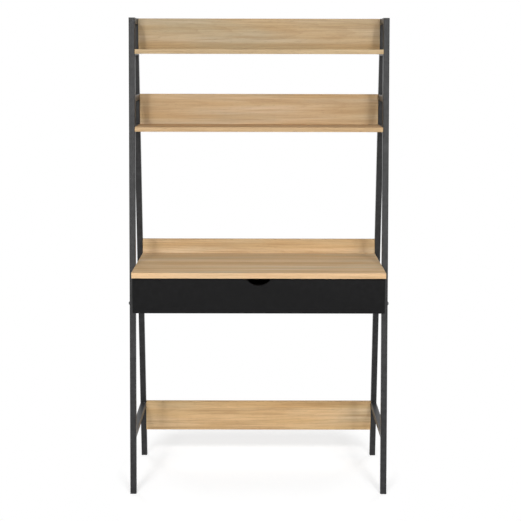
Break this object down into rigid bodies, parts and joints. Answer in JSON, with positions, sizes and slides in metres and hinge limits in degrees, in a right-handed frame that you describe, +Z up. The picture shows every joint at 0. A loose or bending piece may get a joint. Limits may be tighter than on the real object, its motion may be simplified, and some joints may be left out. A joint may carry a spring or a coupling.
{
  "type": "ladder desk",
  "caption": "Leaning ladder desk: black square-tube side frames carry oak-effect shelves with back panels, a desktop with a full-width black drawer, and a low rear stretcher.",
  "frame": {"origin": "middle of the footprint, on the floor under the feet", "axes": "+Z up, -Y towards the user at the front, +X to the right seen from the front"},
  "size_m": [0.8566, 0.502, 1.563],
  "materials": {
    "frame_steel": "satin black powder coat",
    "oak_board": "light oak laminate, matt, grain along the length",
    "black_board": "matt black laminate",
    "drawer_board": "matt black foil",
    "black_plastic": "fine moulded texture",
    "black_steel": "black zinc",
    "runner_steel": "galvanised sheet",
    "nylon": "natural nylon"
  },
  "bodies": {
    "frame": {"desk_back_panel": "oak_board", "desktop": "oak_board", "housing_rear_board": "black_board", "left_desk_brackets": "runner_steel", "left_fixed_runner": "runner_steel", "left_front_cap": "black_plastic", "left_front_foot": "black_plastic", "left_front_leg": "frame_steel", "left_guard_rail": "frame_steel", "left_housing_bolts": "black_steel", "left_housing_side": "black_board", "left_low_rail": "frame_steel", "left_lower_shelf_rail": "frame_steel", "left_panel_lugs": "frame_steel", "left_rear_cap": "black_plastic", "left_rear_foot": "black_plastic", "left_rear_leg": "frame_steel", "left_shelf_lugs": "frame_steel", "left_top_rail": "frame_steel", "left_top_shelf_rail": "frame_steel", "lower_back_panel": "oak_board", "lower_shelf": "oak_board", "rear_stretcher": "oak_board", "right_desk_brackets": "runner_steel", "right_fixed_runner": "runner_steel", "right_front_cap": "black_plastic", "right_front_foot": "black_plastic", "right_front_leg": "frame_steel", "right_guard_rail": "frame_steel", "right_housing_bolts": "black_steel", "right_housing_side": "black_board", "right_low_rail": "frame_steel", "right_lower_shelf_rail": "frame_steel", "right_panel_lugs": "frame_steel", "right_rear_cap": "black_plastic", "right_rear_foot": "black_plastic", "right_rear_leg": "frame_steel", "right_shelf_lugs": "frame_steel", "right_top_rail": "frame_steel", "right_top_shelf_rail": "frame_steel", "top_back_panel": "oak_board", "top_shelf": "oak_board"},
    "drawer": {"drawer_back": "drawer_board", "drawer_bottom": "drawer_board", "drawer_front": "black_board", "left_drawer_runner": "runner_steel", "left_drawer_side": "drawer_board", "right_drawer_runner": "runner_steel", "right_drawer_side": "drawer_board"},
    "left_fixed_roller": {"left_fixed_roller": "nylon"},
    "right_fixed_roller": {"right_fixed_roller": "nylon"},
    "left_drawer_roller": {"left_drawer_roller": "nylon"},
    "right_drawer_roller": {"right_drawer_roller": "nylon"}
  },
  "joints": [
    {"name": "drawer_slide", "type": "slide", "parent": "frame", "child": "drawer", "axis": [0, -1, 0], "range_m": [0, 0.26]},
    {"name": "left_fixed_roller_spin", "type": "hinge", "parent": "frame", "child": "left_fixed_roller", "pos_m": [-0.3855, -0.208, 0.646], "axis": [1, 0, 0], "range_deg": [0, 1863.1]},
    {"name": "right_fixed_roller_spin", "type": "hinge", "parent": "frame", "child": "right_fixed_roller", "pos_m": [0.3855, -0.208, 0.646], "axis": [1, 0, 0], "range_deg": [0, 1863.1]},
    {"name": "left_drawer_roller_spin", "type": "hinge", "parent": "drawer", "child": "left_drawer_roller", "pos_m": [-0.382, 0.1096, 0.6453], "axis": [1, 0, 0], "range_deg": [0, 1863.1]},
    {"name": "right_drawer_roller_spin", "type": "hinge", "parent": "drawer", "child": "right_drawer_roller", "pos_m": [0.382, 0.1096, 0.6453], "axis": [1, 0, 0], "range_deg": [0, 1863.1]}
  ],
  "couplings": [
    {"joint": "left_fixed_roller_spin", "follows": "drawer_slide", "rad_per_m": 125},
    {"joint": "right_fixed_roller_spin", "follows": "drawer_slide", "rad_per_m": 125},
    {"joint": "left_drawer_roller_spin", "follows": "drawer_slide", "rad_per_m": 125},
    {"joint": "right_drawer_roller_spin", "follows": "drawer_slide", "rad_per_m": 125}
  ]
}
